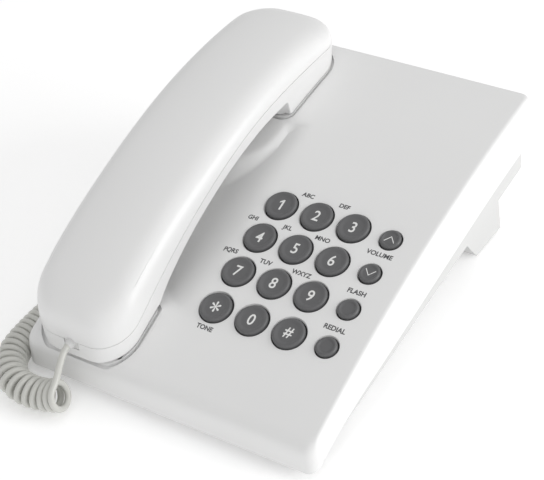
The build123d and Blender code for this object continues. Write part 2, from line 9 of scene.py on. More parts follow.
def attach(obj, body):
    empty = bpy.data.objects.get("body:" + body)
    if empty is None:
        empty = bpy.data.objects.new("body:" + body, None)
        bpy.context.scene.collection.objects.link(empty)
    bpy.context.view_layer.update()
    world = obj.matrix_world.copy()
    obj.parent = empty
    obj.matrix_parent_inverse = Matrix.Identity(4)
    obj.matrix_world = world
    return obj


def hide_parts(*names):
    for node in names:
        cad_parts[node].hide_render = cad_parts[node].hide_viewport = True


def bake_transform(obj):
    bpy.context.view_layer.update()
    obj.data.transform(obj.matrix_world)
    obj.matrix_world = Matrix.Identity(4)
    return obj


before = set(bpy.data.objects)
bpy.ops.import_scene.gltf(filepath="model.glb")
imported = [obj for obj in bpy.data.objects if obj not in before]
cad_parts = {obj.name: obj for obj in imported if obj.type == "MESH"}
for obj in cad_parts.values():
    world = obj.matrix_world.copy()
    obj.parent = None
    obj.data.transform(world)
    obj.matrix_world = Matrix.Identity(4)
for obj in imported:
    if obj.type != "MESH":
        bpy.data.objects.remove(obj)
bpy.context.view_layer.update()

COL = bpy.context.scene.collection
Y_MID = 102.43


def m3(p):
    """Millimetres, y counted from the front edge, to metres in the row frame."""
    return (p[0] / 1000.0, (p[1] - Y_MID) / 1000.0, p[2] / 1000.0)


# ------------------------------------------------------------------ camera
cam_data = bpy.data.cameras.new("camera")
cam_data.sensor_fit = "HORIZONTAL"
cam_data.sensor_width = 36.0
cam_data.lens = 1600.7549 * 36.0 / 544.0
cam_data.clip_start, cam_data.clip_end = 0.05, 60.0
camera = bpy.data.objects.new("camera", cam_data)
COL.objects.link(camera)
_R, _U, _B = (0.836743, 0.540314, -0.089005), (-0.275048, 0.555240, 0.784893), (0.473508, -0.632274, 0.613205)
_C = m3((340.018, -363.880, 476.148))
camera.matrix_world = Matrix(((_R[0], _U[0], _B[0], _C[0]), (_R[1], _U[1], _B[1], _C[1]),
                              (_R[2], _U[2], _B[2], _C[2]), (0, 0, 0, 1)))
bpy.context.scene.camera = camera
bpy.context.scene.view_settings.view_transform = "Standard"

# ------------------------------------------------------------------ numbers
HALF_W, DEPTH = 75.0, 199.3
CHORD = math.atan2(70.0 - 17.6, 200.0)
KEY_SLOPE = math.radians(17.2)
KEY_ROWS = (96.5, 78.1, 59.7, 41.3)
KEY_COLS = (2.7, 21.2, 39.8)
SMALL_COL = 58.3
KEY_R, KEY_HOLE_R, SMALL_R, SMALL_HOLE_R, KEY_PROUD = 7.55, 7.9, 5.0, 5.35, 1.3
HS_X, HS_HALF = -46.5, 26.0
WIRE_D, COIL_D = 3.0, 15.0


def circle3(p, q, r):
    (ax, ay), (bx, by), (cx, cy) = p, q, r
    d = 2 * (ax * (by - cy) + bx * (cy - ay) + cx * (ay - by))
    ux = ((ax * ax + ay * ay) * (by - cy) + (bx * bx + by * by) * (cy - ay) + (cx * cx + cy * cy) * (ay - by)) / d
    uy = ((ax * ax + ay * ay) * (cx - bx) + (bx * bx + by * by) * (ax - cx) + (cx * cx + cy * cy) * (bx - ax)) / d
    return ux, uy, math.hypot(ax - ux, ay - uy)


CY, CZ, CR = circle3((0.0, 17.6), (100.0, 52.6), (200.0, 70.0))


def panel_z(y, off=0.0):
    return CZ + np.sqrt((CR - off) ** 2 - (np.asarray(y, float) - CY) ** 2)


def smooth(t):
    t = np.clip(t, 0.0, 1.0)
    return t * t * (3 - 2 * t)


def spline1(points):
    """Natural cubic spline through (x, y) points, as a function."""
    x = np.array([p[0] for p in points], float)
    y = np.array([p[1] for p in points], float)
    n = len(x)
    h = np.diff(x)
    a = np.zeros((n, n))
    b = np.zeros(n)
    a[0, 0] = a[-1, -1] = 1
    for i in range(1, n - 1):
        a[i, i - 1], a[i, i], a[i, i + 1] = h[i - 1], 2 * (h[i - 1] + h[i]), h[i]
        b[i] = 3 * ((y[i + 1] - y[i]) / h[i] - (y[i] - y[i - 1]) / h[i - 1])
    c = np.linalg.solve(a, b)

    def f(t):
        t = np.asarray(t, float)
        i = np.clip(np.searchsorted(x, t) - 1, 0, n - 2)
        dx = t - x[i]
        bb = (y[i + 1] - y[i]) / h[i] - h[i] * (2 * c[i] + c[i + 1]) / 3
        dd = (c[i + 1] - c[i]) / (3 * h[i])
        return y[i] + bb * dx + c[i] * dx ** 2 + dd * dx ** 3
    return f


rim_z = spline1(((-12, -3.0), (0, 4.0), (20, 12.2), (37, 17.0), (54, 20.5), (71, 24.0), (90, 28.0),
                 (108, 31.8), (140, 38.3), (170, 43.6), (203, 48.5), (225, 51.6)))


# ------------------------------------------------------------------ mesh helpers
def make_mesh(name, verts, faces, mat=None, sharp=35.0, mm=True):
    """A mesh object from points in millimetres."""
    me = bpy.data.meshes.new(name)
    v = np.asarray(verts, float)
    if mm:
        v = (v - np.array((0, Y_MID, 0))) / 1000.0
    me.from_pydata([tuple(p) for p in v], [], [tuple(int(i) for i in f) for f in faces])
    bm = bmesh.new()
    bm.from_mesh(me)
    bmesh.ops.remove_doubles(bm, verts=bm.verts, dist=2e-6)
    bmesh.ops.recalc_face_normals(bm, faces=bm.faces)
    bm.to_mesh(me)
    bm.free()
    ob = bpy.data.objects.new(name, me)
    COL.objects.link(ob)
    finish_mesh(ob, mat, sharp)
    return ob


def finish_mesh(ob, mat=None, sharp=35.0):
    me = ob.data
    me.shade_smooth()
    me.set_sharp_from_angle(angle=math.radians(sharp))
    if mat is not None:
        me.materials.clear()
        me.materials.append(mat)


def apply_modifiers(ob):
    dg = bpy.context.evaluated_depsgraph_get()
    me = bpy.data.meshes.new_from_object(ob.evaluated_get(dg))
    old = ob.data
    ob.modifiers.clear()
    ob.data = me
    bpy.data.meshes.remove(old)


def cut(ob, cutters, mode="DIFFERENCE"):
    """Boolean with several closed cutters, which are removed afterwards."""
    for c in cutters:
        mod = ob.modifiers.new("cut", "BOOLEAN")
        mod.operation = mode
        mod.solver = "EXACT"
        mod.object = c
    bpy.context.view_layer.update()
    apply_modifiers(ob)
    for c in cutters:
        bpy.data.objects.remove(c, do_unlink=True)


def join_cutters(cutters):
    """One object that holds several separate closed cutters."""
    bm = bmesh.new()
    for c in cutters:
        bm.from_mesh(c.data)
    me = bpy.data.meshes.new("cutters")
    bm.to_mesh(me)
    bm.free()
    for c in cutters:
        bpy.data.objects.remove(c, do_unlink=True)
    ob = bpy.data.objects.new("cutters", me)
    COL.objects.link(ob)
    return ob


def plane_frame(x, y, z, slope):
    """Local axes on the panel: across, up the slope, out of it."""
    return (np.array((x, y, z), float), np.array((1.0, 0, 0)),
            np.array((0.0, math.cos(slope), math.sin(slope))), np.array((0.0, -math.sin(slope), math.cos(slope))))


def to_frame(fr, pts):
    o, a, b, c = fr
    p = np.asarray(pts, float)
    return o + p[:, :1] * a + p[:, 1:2] * b + p[:, 2:3] * c


def lathe(name, profile, fr, seg=64, mat=None, sharp=35.0):
    """A closed solid turned from (radius, height) points, first and last on the axis."""
    verts, faces = [], []
    verts.append((0, 0, profile[0][1]))
    for r, z in profile[1:-1]:
        for i in range(seg):
            a = 2 * math.pi * i / seg
            verts.append((r * math.cos(a), r * math.sin(a), z))
    verts.append((0, 0, profile[-1][1]))
    n = len(profile) - 2
    for i in range(seg):
        j = (i + 1) % seg
        faces.append((0, 1 + i, 1 + j))
        for k in range(n - 1):
            faces.append((1 + k * seg + i, 1 + (k + 1) * seg + i, 1 + (k + 1) * seg + j, 1 + k * seg + j))
        faces.append((1 + (n - 1) * seg + i, len(verts) - 1, 1 + (n - 1) * seg + j))
    return make_mesh(name, to_frame(fr, verts), faces, mat, sharp)


def box_mesh(name, fr, sx, sy, sz, bevel=0.0, mat=None, seg=4):
    """A box centred in a local frame, with rounded edges."""
    bm = bmesh.new()
    bmesh.ops.create_cube(bm, size=1.0)
    for v in bm.verts:
        v.co = Vector((v.co.x * sx, v.co.y * sy, v.co.z * sz))
    if bevel:
        bmesh.ops.bevel(bm, geom=list(bm.edges), offset=bevel, segments=seg, profile=0.5, affect="EDGES")
    pts = to_frame(fr, [tuple(v.co) for v in bm.verts])
    faces = [[v.index for v in f.verts] for f in bm.faces]
    bm.free()
    return make_mesh(name, pts, faces, mat)


def grid_params(n, size, dense):
    """n+1 positions from 0 to size, a share of them packed within dense of each end."""
    k = max(3, n // 8)
    a = np.linspace(0, dense, k + 1)[:-1]
    b = np.linspace(dense, size - dense, n - 2 * k + 1)
    c = np.linspace(size - dense, size, k + 1)[1:]
    return np.concatenate([a, b, c])


def plan_point(u, v, x0, x1, y0, y1, r):
    """Maps the square grid (u, v in 0..1 of each side) into a rectangle with round corners."""
    x = x0 + (x1 - x0) * u
    y = y0 + (y1 - y0) * v
    cx = np.clip(x, x0 + r, x1 - r)
    cy = np.clip(y, y0 + r, y1 - r)
    a, b = (x - cx) / r, (y - cy) / r
    return cx + r * a * np.sqrt(1 - b * b / 2), cy + r * b * np.sqrt(1 - a * a / 2)


def slab(name, plan, corner, edge, top, rim, sign, nu, nv, wall, thick, post, mat, knob=5, levels=6, sharp=38.0,
         lateral=None):
    """A closed shell: a surface with a rounded edge, a wall down to a rim, and a hollow inside.
    plan = (x0, x1, y0, y1); edge = (left, right, front, rear) edge radii; top and rim are heights over (x, y);
    sign is +1 where the surface is above its rim and -1 where it is below."""
    x0, x1, y0, y1 = plan
    el, er, ef, eb = edge
    us = grid_params(nu, x1 - x0, corner * 1.05) / (x1 - x0)
    vs = grid_params(nv, y1 - y0, corner * 1.05) / (y1 - y0)
    U, V = np.meshgrid(us, vs, indexing="ij")
    verts, faces = [], []

    def add(P):
        i = len(verts)
        verts.extend([tuple(p) for p in P])
        return np.arange(i, i + len(P))

    def grid(x0_, x1_, y0_, y1_, r_, height):
        X, Y = plan_point(U, V, x0_, x1_, y0_, y1_, r_)
        Z = height(X, Y)
        idx = add(np.stack([X, Y, Z], -1).reshape(-1, 3)).reshape(X.shape)
        return idx, X, Y, Z

    def loop(A):
        return np.concatenate([A[:-1, 0], A[-1, :-1], A[:0:-1, -1], A[0, :0:-1]])

    def quads(idx, flip):
        a, b, c, d = idx[:-1, :-1], idx[1:, :-1], idx[1:, 1:], idx[:-1, 1:]
        q = np.stack([a, b, c, d], -1).reshape(-1, 4)
        faces.extend([tuple(f[::-1]) if flip else tuple(f) for f in q])

    def strip(la, lb):
        n = len(la)
        for i in range(n):
            j = (i + 1) % n
            faces.append((la[i], la[j], lb[j], lb[i]))

    # the outer surface, inset by the edge radii
    ri = max(2.0, corner - min(el, er, ef, eb))
    idx, X, Y, Z = grid(x0 + el, x1 - er, y0 + ef, y1 - eb, max(ri, 0.6 * corner), top)
    quads(idx, sign < 0)
    la = loop(idx)
    A = np.stack([loop(X), loop(Y), loop(Z)], -1)
    OX, OY = plan_point(U, V, x0, x1, y0, y1, corner)
    ox, oy = loop(OX), loop(OY)
    kz = top(ox, oy)
    dist = np.hypot(A[:, 0] - ox, A[:, 1] - oy)
    K = np.stack([ox, oy, kz], -1)
    bz = kz - sign * dist
    rz = rim(ox, oy)
    bz = np.where(sign * (bz - rz) < 0.3, rz + sign * 0.3, bz)
    B = np.stack([ox, oy, bz], -1)
    prev = la
    for i in range(1, knob + 1):
        t = i / knob
        # a rounder edge than a plain parabola
        w = 1.25
        den = (1 - t) ** 2 + 2 * w * t * (1 - t) + t * t
        P = ((1 - t) ** 2 * A + 2 * w * t * (1 - t) * K + t * t * B) / den[..., None] if np.ndim(den) else \
            ((1 - t) ** 2 * A + 2 * w * t * (1 - t) * K + t * t * B) / den
        cur = add(P)
        strip(prev, cur)
        prev = cur
    for i in range(1, levels + 1):
        t = i / levels
        cur = add(np.stack([ox, oy, bz + (rz - bz) * t], -1))
        strip(prev, cur)
        prev = cur
    # the rim, then the inside
    IX, IY = plan_point(U, V, x0 + wall, x1 - wall, y0 + wall, y1 - wall, max(1.5, corner - wall))
    ix, iy = loop(IX), loop(IY)
    cur = add(np.stack([ix, iy, rim(ix, iy)], -1))
    strip(prev, cur)
    prev = cur
    inset = max(wall + 0.6, max(edge) * 0.75)
    gi, GX, GY, GZ = grid(x0 + wall, x1 - wall, y0 + wall + (inset - wall) * (ef > 4), y1 - wall - (inset - wall) * (eb > 4),
                          max(1.5, corner - wall),
                          lambda X_, Y_: top(X_, Y_) - sign * thick)
    quads(gi, sign > 0)
    strip(prev, loop(gi))
    P = np.array(verts)
    P = post(P)
    return make_mesh(name, P, faces, mat, sharp)


def nurbs_points(points, res=24):
    """Points of the NURBS spline whose control points are these, in millimetres."""
    cu = bpy.data.curves.new("route", "CURVE")
    cu.dimensions = "3D"
    sp = cu.splines.new("NURBS")
    sp.points.add(len(points) - 1)
    for q, p in zip(sp.points, points):
        q.co = (*m3(p), 1.0)
    sp.order_u = 3
    sp.use_endpoint_u = True
    sp.resolution_u = res
    cu.resolution_u = res
    ob = bpy.data.objects.new("route", cu)
    COL.objects.link(ob)
    bpy.context.view_layer.update()
    me = bpy.data.meshes.new_from_object(ob)
    pts = np.array([v.co[:] for v in me.vertices], float) * 1000.0 + np.array((0, Y_MID, 0))
    bpy.data.objects.remove(ob, do_unlink=True)
    bpy.data.meshes.remove(me)
    return pts


def resample(pts, step):
    pts = np.asarray(pts, float)
    d = np.linalg.norm(np.diff(pts, axis=0), axis=1)
    keep = np.concatenate([[True], d > 1e-6])
    pts = pts[keep]
    s = np.concatenate([[0], np.cumsum(np.linalg.norm(np.diff(pts, axis=0), axis=1))])
    n = max(2, int(round(s[-1] / step)))
    t = np.linspace(0, s[-1], n + 1)
    return np.stack([np.interp(t, s, pts[:, i]) for i in range(3)], -1), t


def tube_mesh(name, path, radius, mat, seg=12):
    """A round tube with closed ends along path, in millimetres."""
    n = len(path)
    tan = np.gradient(path, axis=0)
    tan /= np.linalg.norm(tan, axis=1)[:, None]
    nrm = np.cross(tan[0], (0.0, 0.0, 1.0))
    if np.linalg.norm(nrm) < 1e-3:
        nrm = np.array((1.0, 0, 0))
    verts, faces = [], []
    ang = 2 * np.pi * np.arange(seg) / seg
    for i in range(n):
        nrm = nrm - tan[i] * (nrm @ tan[i])
        nrm /= np.linalg.norm(nrm)
        bi = np.cross(tan[i], nrm)
        verts.append(path[i] + radius * (np.cos(ang)[:, None] * nrm + np.sin(ang)[:, None] * bi))
    verts = np.concatenate(verts)
    k = np.arange(seg)
    k2 = (k + 1) % seg
    for i in range(n - 1):
        a = i * seg
        faces.extend(np.stack([a + k, a + k2, a + seg + k2, a + seg + k], -1).tolist())
    faces.append(list(range(seg))[::-1])
    faces.append([(n - 1) * seg + i for i in range(seg)])
    return make_mesh(name, verts, faces, mat, sharp=60)


# ------------------------------------------------------------------ materials
def plastic(name, color, rough, bump=0.02, grain=900.0, vary=0.03, rough_vary=0.05, coat=0.0, spec=0.5, sss=0.0,
            mottle=18.0, transmission=0.0, metallic=0.0, edge_highlight=0.0):
    """Moulded plastic, rubber or metal: fine moulded grain, slow colour and gloss drift, and a painted highlight that
    makes sharp edges paler.
    """
    mat = bpy.data.materials.new(name)
    mat.use_nodes = True
    nt = mat.node_tree
    b = nt.nodes["Principled BSDF"]
    tc = nt.nodes.new("ShaderNodeTexCoord")
    fine = nt.nodes.new("ShaderNodeTexNoise")
    fine.inputs["Scale"].default_value = grain
    fine.inputs["Detail"].default_value = 3.0
    slow = nt.nodes.new("ShaderNodeTexNoise")
    slow.inputs["Scale"].default_value = mottle
    slow.inputs["Detail"].default_value = 4.0
    nt.links.new(tc.outputs["Object"], fine.inputs["Vector"])
    nt.links.new(tc.outputs["Object"], slow.inputs["Vector"])
    ramp = nt.nodes.new("ShaderNodeValToRGB")
    ramp.color_ramp.interpolation = "EASE"
    ramp.color_ramp.elements[0].position = 0.0
    ramp.color_ramp.elements[1].position = 1.0
    ramp.color_ramp.elements[0].color = (*[c * (1 - vary) for c in color], 1)
    ramp.color_ramp.elements[1].color = (*[min(1.0, c * (1 + vary)) for c in color], 1)
    nt.links.new(slow.outputs["Fac"], ramp.inputs["Fac"])
    out = ramp.outputs["Color"]
    # painted highlight: sharp convex edges (high pointiness) are mixed toward a paler copy of the colour
    if edge_highlight:
        geo = nt.nodes.new("ShaderNodeNewGeometry")
        er = nt.nodes.new("ShaderNodeValToRGB")
        er.color_ramp.elements[0].position = 0.52
        er.color_ramp.elements[1].position = 0.62
        er.color_ramp.elements[0].color = (0, 0, 0, 1)
        er.color_ramp.elements[1].color = (edge_highlight, edge_highlight, edge_highlight, 1)
        mix = nt.nodes.new("ShaderNodeMix")
        mix.data_type = "RGBA"
        mix.inputs[7].default_value = (*[min(1.0, c * 1.6 + 0.05) for c in color], 1)
        nt.links.new(geo.outputs["Pointiness"], er.inputs["Fac"])
        nt.links.new(er.outputs["Color"], mix.inputs[0])
        nt.links.new(out, mix.inputs[6])
        out = mix.outputs[2]
    nt.links.new(out, b.inputs["Base Color"])
    mr = nt.nodes.new("ShaderNodeMapRange")
    mr.inputs["From Min"].default_value = 0.0
    mr.inputs["From Max"].default_value = 1.0
    mr.inputs["To Min"].default_value = max(0.02, rough - rough_vary)
    mr.inputs["To Max"].default_value = min(1.0, rough + rough_vary)
    nt.links.new(slow.outputs["Fac"], mr.inputs["Value"])
    nt.links.new(mr.outputs["Result"], b.inputs["Roughness"])
    bp = nt.nodes.new("ShaderNodeBump")
    bp.inputs["Strength"].default_value = bump
    bp.inputs["Distance"].default_value = 0.0004
    nt.links.new(fine.outputs["Fac"], bp.inputs["Height"])
    nt.links.new(bp.outputs["Normal"], b.inputs["Normal"])
    b.inputs["Specular IOR Level"].default_value = spec
    b.inputs["Metallic"].default_value = metallic
    b.inputs["Coat Weight"].default_value = coat
    if coat:
        b.inputs["Coat Roughness"].default_value = 0.12
    if sss:
        b.inputs["Subsurface Weight"].default_value = sss
        b.inputs["Subsurface Radius"].default_value = (0.004, 0.0035, 0.003)
        b.inputs["Subsurface Scale"].default_value = 0.3
    if transmission:
        b.inputs["Transmission Weight"].default_value = transmission
    return mat


WHITE = plastic("white_abs", (0.80, 0.80, 0.797), 0.38, bump=0.05, grain=1100, vary=0.012, rough_vary=0.02, coat=0.08)
HS_WHITE = plastic("white_handset", (0.81, 0.81, 0.807), 0.36, bump=0.03, grain=1100, vary=0.012, rough_vary=0.015, coat=0.10)
# the keys' paler rims are a painted edge highlight
KEY_GREY = plastic("key_grey_painted_edges", (0.115, 0.115, 0.118), 0.42, bump=0.10, grain=1500, vary=0.04, edge_highlight=0.15)
PRINT_WHITE = plastic("key_print", (0.80, 0.80, 0.79), 0.45, bump=0.04, grain=1500, vary=0.01)
PRINT_GREY = plastic("panel_print", (0.07, 0.07, 0.074), 0.5, bump=0.04, grain=1500, vary=0.03)
CORD_GREY = plastic("cord_pvc", (0.60, 0.60, 0.565), 0.36, bump=0.08, grain=700, vary=0.03, coat=0.1)
RUBBER = plastic("rubber", (0.035, 0.035, 0.036), 0.75, bump=0.3, grain=1600, vary=0.12)
MEMBRANE = plastic("membrane_rubber", (0.35, 0.36, 0.37), 0.65, bump=0.15, grain=1200, vary=0.05)
STEEL = plastic("zinc_steel", (0.55, 0.55, 0.54), 0.32, bump=0.12, grain=1800, vary=0.06, metallic=1.0)
IRON = plastic("cast_iron", (0.10, 0.095, 0.09), 0.6, bump=0.5, grain=900, vary=0.15, metallic=0.8)
BRASS = plastic("contact_brass", (0.78, 0.60, 0.28), 0.28, bump=0.05, grain=1500, vary=0.05, metallic=1.0)
BOARD = plastic("board_green", (0.03, 0.14, 0.06), 0.45, bump=0.12, grain=1300, vary=0.12)
PARTS = plastic("component_black", (0.03, 0.03, 0.032), 0.45, bump=0.15, grain=1500, vary=0.15)
SWITCH = plastic("switch_plastic", (0.10, 0.10, 0.105), 0.45, bump=0.12, grain=1500, vary=0.05)
JACK = plastic("jack_plastic", (0.13, 0.13, 0.135), 0.4, bump=0.08, grain=1400, vary=0.05)
CLEAR = plastic("plug_milky", (0.70, 0.70, 0.695), 0.25, bump=0.03, grain=900, vary=0.02, coat=0.3)
HOOK_MAT = plastic("hook_plastic", (0.66, 0.66, 0.655), 0.35, bump=0.06, grain=1100, vary=0.02)
# painted shade: the lower case and desk stand get a darker copy of the case white, for the shade under the base
LOWER_SHADED_MAT = plastic("white_lower_painted_shade", (0.62, 0.62, 0.615), 0.42, bump=0.14, grain=1300, vary=0.015)

NODE_MATS = {
    "lower_case": LOWER_SHADED_MAT, "desk_stand": LOWER_SHADED_MAT, "front_feet": RUBBER, "rear_feet": RUBBER, "case_screws": STEEL,
    "main_pcb": BOARD, "pcb_components": PARTS, "keypad_pcb": BOARD, "keypad_membrane": MEMBRANE,
    "hook_plunger": HOOK_MAT, "hook_spring": STEEL, "hook_microswitch": SWITCH, "ringer_sounder": PARTS,
    "line_jack": JACK, "line_jack_contacts": BRASS, "base_handset_jack": JACK, "ringer_switch_body": SWITCH,
    "ringer_switch_knob": SWITCH, "dial_mode_switch_body": SWITCH, "dial_mode_switch_knob": SWITCH,
    "handset_receiver": STEEL, "handset_microphone": STEEL, "handset_weight": IRON, "handset_jack": JACK,
    "handset_screws": STEEL, "plug_handset_end": CLEAR, "plug_base_end": CLEAR,
}
for node, mat in NODE_MATS.items():
    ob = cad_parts[node]
    if ob.material_slots:
        for s in ob.material_slots:
            s.material = mat
    else:
        ob.data.materials.append(mat)

# ------------------------------------------------------------------ the cord
HS_EXIT = (-46.5, -1.4, 26.6)
BASE_EXIT = (-76.2, 150.0, 32.6)
COIL_PTS = ((-42.4, -15.4, 10.6), (-48.2, -15.9, 8.2), (-57.0, -17.4, 7.6), (-66.5, -16.8, 7.6), (-75.0, -12.0, 7.6),
            (-81.2, -3.8, 7.6), (-84.0, 8.0, 7.6), (-84.2, 37.0, 7.6), (-84.6, 72.0, 7.6), (-84.6, 108.0, 7.6),
            (-85.6, 136.0, 7.6))
HELIX_R = COIL_D / 2 - WIRE_D / 2 - 0.02


def helix_along(axis_pts, phase):
    """The curly cord's helix about its route, opened out where the route bends."""
    ax, s = resample(axis_pts, 0.5)
    for _ in range(6):     # a curly cord is too springy to follow each small turn of the route
        ax[1:-1] = 0.25 * ax[:-2] + 0.5 * ax[1:-1] + 0.25 * ax[2:]
    s = np.concatenate([[0], np.cumsum(np.linalg.norm(np.diff(ax, axis=0), axis=1))])
    tan = np.gradient(ax, s, axis=0)
    tan /= np.linalg.norm(tan, axis=1)[:, None]
    kap = np.linalg.norm(np.gradient(tan, s, axis=0), axis=1)
    k = np.ones(17) / 17
    kap = np.convolve(np.pad(kap, 8, mode="edge"), k, mode="valid")
    pitch = np.maximum(3.08, 3.03 / np.clip(1 - HELIX_R * kap * 1.02, 0.3, 1))
    wob = 0.05 * np.sin(s * 0.21 + 0.6) + 0.04 * np.sin(s * 0.083)
    pitch = pitch * (1.02 + wob * 0.3)
    phi = phase + np.concatenate([[0], np.cumsum(2 * np.pi / (0.5 * (pitch[1:] + pitch[:-1])) * np.diff(s))])
    n = int((phi[-1] - phi[0]) / (2 * np.pi) * 26)
    ph = np.linspace(phi[0], phi[-1], n + 1)
    pos = np.stack([np.interp(ph, phi, ax[:, i]) for i in range(3)], -1)
    tt = np.stack([np.interp(ph, phi, tan[:, i]) for i in range(3)], -1)
    tt /= np.linalg.norm(tt, axis=1)[:, None]
    e2 = np.stack([-tt[:, 1], tt[:, 0], np.zeros(len(tt))], -1)
    e2 /= np.linalg.norm(e2, axis=1)[:, None]
    e1 = np.cross(e2, tt)
    e1 *= np.sign(e1[:, 2:3])
    return pos + HELIX_R * (np.cos(ph)[:, None] * e1 + np.sin(ph)[:, None] * e2), ph


helix, ph = helix_along(nurbs_points(COIL_PTS), math.radians(18.0))
# drop the last part turn, so that the cord leaves the coil upwards beside the case
cut_at = len(ph)
want = math.radians(288.0)
for i in range(len(ph) - 1, 0, -1):
    if abs((ph[i] - want + math.pi) % (2 * math.pi) - math.pi) < 2 * math.pi / 50:
        cut_at = i + 1
        break
helix = helix[:cut_at]
d0 = helix[1] - helix[0]
d0 /= np.linalg.norm(d0)
d1 = helix[-1] - helix[-2]
d1 /= np.linalg.norm(d1)
T0, T1 = helix[0], helix[-1]
HS_TAIL = [HS_EXIT, (-46.5, -4.2, 26.3), tuple(T0 - 9.0 * d0 + np.array((0, 0, 2.6))), tuple(T0 - 3.6 * d0), tuple(T0)]
BASE_TAIL = [tuple(T1), tuple(T1 + 5.5 * d1), (-84.6, 146.6, 20.6), (-88.2, 150.6, 29.6), (-83.4, 150.2, 32.9), BASE_EXIT]


def plug_piece(name, origin, out, mat, body=(7.7, 6.0), front=0.0):
    """A plug body that fills its socket, and the tapered sleeve that the cord leaves. out is the way the cord leaves."""
    o = np.array(origin, float)
    n = np.array(out, float)
    side = np.cross((0, 0, 1.0), n)
    fr = (o, side, np.array((0, 0, 1.0)), n)
    verts, faces = [], []
    bm_ = bmesh.new()
    bmesh.ops.create_cube(bm_, size=1.0)
    for v in bm_.verts:
        v.co = Vector((v.co.x * body[0], v.co.y * body[1], v.co.z * (11.2 + front) - (11.2 - front) / 2))
    bmesh.ops.bevel(bm_, geom=list(bm_.edges), offset=0.35, segments=3, profile=0.5, affect="EDGES")
    verts += [tuple(v.co) for v in bm_.verts]
    faces += [[v.index for v in f.verts] for f in bm_.faces]
    bm_.free()
    prof = [(0, -1.0), (2.75, -1.0), (2.75, 0.1), (2.6, 0.5), (2.2, 1.5), (2.3, 1.7), (2.0, 2.4), (1.75, 3.2), (1.62, 3.6), (0, 3.7)]
    base_i = len(verts)
    seg = 40
    verts.append((0, 0, prof[0][1]))
    for r, z in prof[1:-1]:
        verts += [(r * math.cos(2 * math.pi * i / seg), r * math.sin(2 * math.pi * i / seg), z) for i in range(seg)]
    verts.append((0, 0, prof[-1][1]))
    m = len(prof) - 2
    for i in range(seg):
        j = (i + 1) % seg
        faces.append((base_i, base_i + 1 + i, base_i + 1 + j))
        for k in range(m - 1):
            a = base_i + 1 + k * seg
            faces.append((a + i, a + seg + i, a + seg + j, a + j))
        a = base_i + 1 + (m - 1) * seg
        faces.append((a + i, len(verts) - 1, a + j))
    return make_mesh(name, to_frame(fr, verts), faces, mat, 40)


plug_a = plug_piece("handset_end_plug", (-46.5, 1.4, 26.6), (0, -1.0, 0), CLEAR, front=0.55)
plug_b = plug_piece("base_end_plug", (-73.4, 150.0, 32.6), (-1.0, 0, 0), CLEAR)
for pl, node, body in ((plug_a, "plug_handset_end", "handset"), (plug_b, "plug_base_end", "base")):
    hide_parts(node)
    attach(pl, body)
tail_a, _ = resample(nurbs_points(HS_TAIL), 1.3)
tail_b, _ = resample(nurbs_points(BASE_TAIL), 1.3)
wire = np.concatenate([tail_a[:-1], helix, tail_b[1:]])
cord = tube_mesh("handset_cord", wire, WIRE_D / 2, CORD_GREY, seg=12)
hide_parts("cord_tail_handset", "cord_coil", "cord_tail_base")
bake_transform(cord)


# ------------------------------------------------------------------ upper case
def bump_box(x, y, xa, xb, ya, yb, wl, wr, wf, wb):
    """1 inside a rectangle, falling smoothly to 0 over the given widths outside it."""
    fx = smooth((x - (xa - wl)) / wl) * smooth(((xb + wr) - x) / wr)
    fy = smooth((y - (ya - wf)) / wf) * smooth(((yb + wb) - y) / wb)
    return fx * fy


def ramp_up(q, a):
    """0 for q < -a, q for q > a, with a smooth bend between."""
    return np.where(q < -a, 0.0, np.where(q > a, q, (q + a) ** 2 / (4 * a)))


def soft_min(a, b, k):
    h = np.clip(0.5 + 0.5 * (b - a) / k, 0, 1)
    return np.where(np.minimum(a, b) <= 0, 0.0, np.maximum(0.0, b + (a - b) * h - k * h * (1 - h)))


def case_top(x, y):
    z = panel_z(y)
    edge = -8.5 - 3.5 * smooth((y - 70.0) / 50.0)          # upper edge of the slope beside the keys
    right = 0.28 * ramp_up(edge - x, 5.0)
    rear = 0.60 * ramp_up(np.hypot(x - HS_X, y - 134.0) - 25.0, 1.3) * smooth((144.0 - y) / 7.0)   # round ear platform
    front = 0.50 * ramp_up(y - 34.5, 4.0)
    left = 1.4 * ramp_up(x + 71.0, 2.0)
    v = soft_min(soft_min(right, rear, 0.5), soft_min(front, left, 0.8), 0.8)
    v = soft_min(v, 6.4 + 0 * v, 2.0)
    mouth = 4.6 * bump_box(x, y, HS_X - 19.0, HS_X + 19.0, 8.0, 30.6, 1.7, 1.7, 1.7, 1.7)
    ear = 5.4 * bump_box(x, y, HS_X - 19.4, HS_X + 19.4, 148.6, 187.4, 1.7, 1.7, 1.7, 1.7)
    return z - np.maximum(np.maximum(v, mouth), ear)


def case_post(P):
    """Sides flare and the rear wall slopes back as they go down."""
    x, y, z = P[:, 0].copy(), P[:, 1].copy(), P[:, 2]
    d = np.maximum(0.0, (panel_z(np.clip(y, 0, 200)) - z) * math.cos(CHORD))
    x = x * (1 + 0.055 * d / HALF_W)
    w = np.clip((y - 150.0) / (DEPTH - 150.0), 0, 1) ** 2
    y = y + math.tan(CHORD) * np.clip(70.0 - z, 0, 60) * w
    return np.stack([x, y, z], -1)


upper = slab("case_top_shell", (-HALF_W, HALF_W, 0.0, DEPTH), 5.0, (2.0, 2.0, 5.5, 3.0), case_top,
             lambda x, y: rim_z(np.clip(y, -5, 210)), +1, 136, 176, 2.4, 2.6, case_post, WHITE, knob=6, levels=8)

KEYS = []
names = (("key_1", "key_2", "key_3"), ("key_4", "key_5", "key_6"), ("key_7", "key_8", "key_9"),
         ("key_star", "key_0", "key_hash"))
for row, y in zip(names, KEY_ROWS):
    for n, x in zip(row, KEY_COLS):
        KEYS.append((n, x, y, KEY_R, KEY_HOLE_R))
for n, y in zip(("key_volume_up", "key_volume_down", "key_flash", "key_redial"), KEY_ROWS):
    KEYS.append((n, SMALL_COL, y, SMALL_R, SMALL_HOLE_R))

